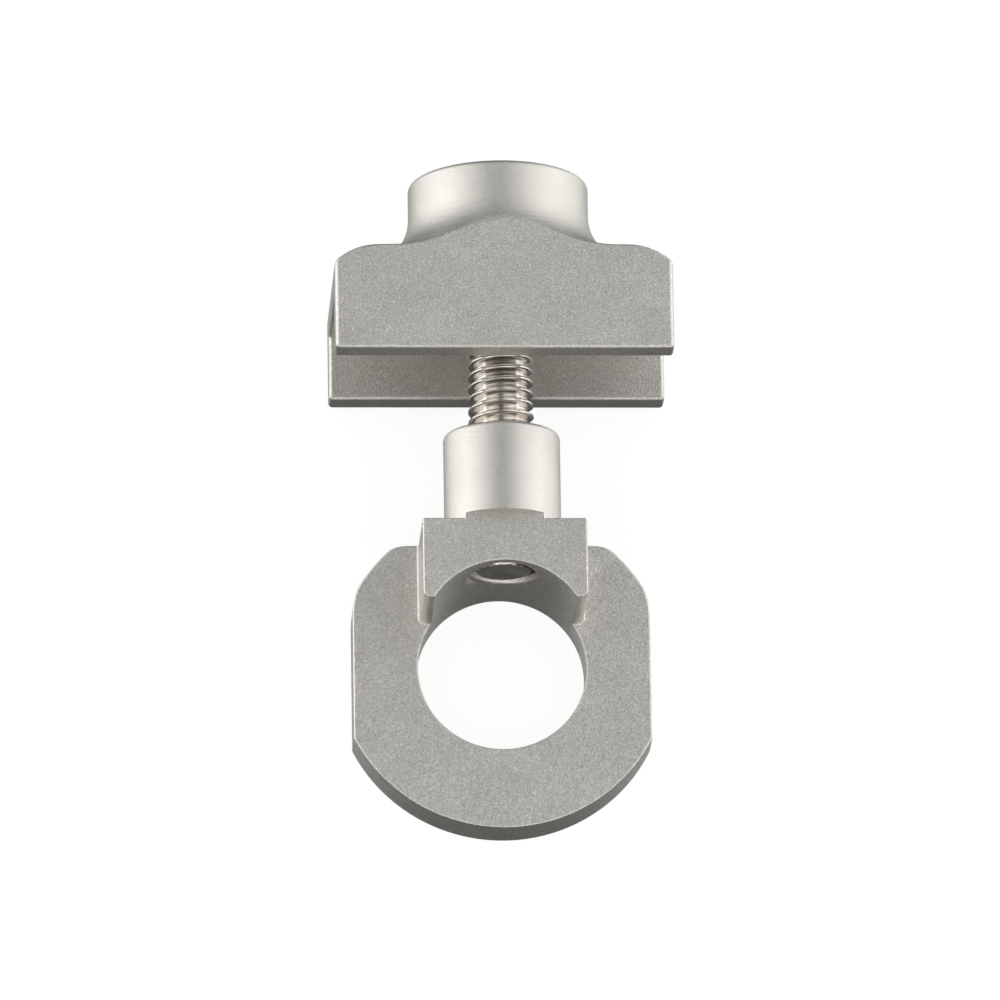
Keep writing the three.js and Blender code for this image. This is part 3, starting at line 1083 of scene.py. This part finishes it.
# The floor is there for the camera only, so that it throws no light back onto the part.
floor = mesh_piece("studio_floor", studio_floor)
floor_paint, floor_nodes, floor_links, floor_shader = shader_nodes("floor_paint")
floor_nodes.remove(floor_shader)
glow = floor_nodes.new("ShaderNodeEmission")
glow.inputs["Color"].default_value = (1, 1, 1, 1)
glow.inputs["Strength"].default_value = 0.86
pale = floor_nodes.new("ShaderNodeBsdfDiffuse")
pale.inputs["Color"].default_value = (0.22, 0.22, 0.22, 1)
shown = floor_nodes.new("ShaderNodeAddShader")
floor_links.new(glow.outputs[0], shown.inputs[0])
floor_links.new(pale.outputs[0], shown.inputs[1])
clear = floor_nodes.new("ShaderNodeBsdfTransparent")
split_by_camera(floor_nodes, floor_links, clear, shown, "Material Output")
floor.data.materials.append(floor_paint)

# The room: soft light overhead with a dark strip down its middle, bright walls on both sides,
# the right one a little weaker, a bright window in front, and little light from below. A step
# runs between two values of one part of the direction, where 1 is straight along that axis.
world = bpy.data.worlds.new("studio")
bpy.context.scene.world = world
world.use_nodes = True
room_nodes, room_links = world.node_tree.nodes, world.node_tree.links
toward = room_nodes.new("ShaderNodeSeparateXYZ")
room_links.new(room_nodes.new("ShaderNodeTexCoord").outputs["Generated"], toward.inputs[0])
room_math = sums_in(room_nodes, room_links)


def soft_step(value, low, high, dark, light):
    return spread(room_nodes, room_links, value, low, high, dark, light, "SMOOTHSTEP")


room_middle = -0.04
room_base = 0.10
overhead_light = 0.67
side_light = 0.71
front_light = 0.95
overhead_strip = 0.10
right_wall_share = 0.84
above = soft_step(toward.outputs["Z"], 0.0, 0.5, 0, 1)
across = room_math("ABSOLUTE", room_math("SUBTRACT", toward.outputs["X"], room_middle))
overhead = soft_step(across, 0.10, 0.30, overhead_strip, overhead_light)
overhead = room_math("MULTIPLY", overhead, above)
sides = soft_step(across, 0.35, 0.75, 0, side_light)
low_sides = soft_step(across, 0.25, 0.75, 0, overhead_light)
low_sides = room_math("MULTIPLY", low_sides, room_math("SUBTRACT", 1, above))
sides = room_math("ADD", sides, low_sides)
from_front = soft_step(toward.outputs["Y"], -0.55, 0.05, 0, 1)
low_side = soft_step(toward.outputs["Z"], -0.95, -0.25, 0.35, 1)
sides = room_math("MULTIPLY", room_math("MULTIPLY", sides, from_front), low_side)
weaker_right = soft_step(toward.outputs["X"], 0.15, 0.60, 1, right_wall_share)
sides = room_math("MULTIPLY", sides, weaker_right)
front = soft_step(toward.outputs["Y"], -0.88, -0.55, front_light, 0)
front = room_math("MULTIPLY", front, soft_step(toward.outputs["Z"], -0.05, 0.25, 0, 1))
light_there = room_math("ADD", room_math("ADD", overhead, sides), front)
light_there = room_math("ADD", light_there, room_base)
room = room_nodes["Background"]
room.inputs["Color"].default_value = (1, 0.995, 0.98, 1)
room_links.new(light_there, room.inputs["Strength"])
backdrop = room_nodes.new("ShaderNodeBackground")
backdrop.inputs["Color"].default_value = (1, 1, 1, 1)
split_by_camera(room_nodes, room_links, room, backdrop, "World Output")


def soft_box(name, place, width, height, power):
    """A rectangular soft light at a place, turned to face the part."""
    lamp = bpy.data.lights.new(name, "AREA")
    lamp.shape = "RECTANGLE"
    lamp.size = width
    lamp.size_y = height
    lamp.energy = power
    made = bpy.data.objects.new(name, lamp)
    made.location = place
    made.rotation_mode = "QUATERNION"
    made.rotation_quaternion = (-Vector(place)).to_track_quat("-Z", "Y")
    made.visible_camera = False
    bpy.context.scene.collection.objects.link(made)


soft_box("left_box", (-0.55, 0.16, 0.16), width=0.30, height=0.16, power=0.10)
soft_box("right_box", (0.55, 0.16, 0.16), width=0.30, height=0.16, power=0.10)

camera_tilt = math.radians(17.55)
camera_yaw = math.radians(3.1)
camera_roll = math.radians(-0.90)
camera_distance = 0.9
aim = Vector((-0.139, -0.097, 5.89)) * MM
view_line = Vector((
    math.cos(camera_tilt) * math.sin(camera_yaw),
    math.sin(camera_tilt),
    -math.cos(camera_tilt) * math.cos(camera_yaw),
))
camera = bpy.data.objects.new("camera", bpy.data.cameras.new("camera"))
bpy.context.scene.collection.objects.link(camera)
camera.data.sensor_width = 36
camera.data.lens = 546.3
camera.data.clip_start = 0.01
camera.data.clip_end = 20
camera.matrix_world = (
    Matrix.Translation(aim - camera_distance * view_line)
    @ Matrix.Rotation(-camera_yaw, 4, "Y")
    @ Matrix.Rotation(camera_tilt, 4, "X")
    @ Matrix.Rotation(camera_roll, 4, "Z")
)
bpy.context.scene.camera = camera
bpy.context.scene.view_settings.view_transform = "Standard"
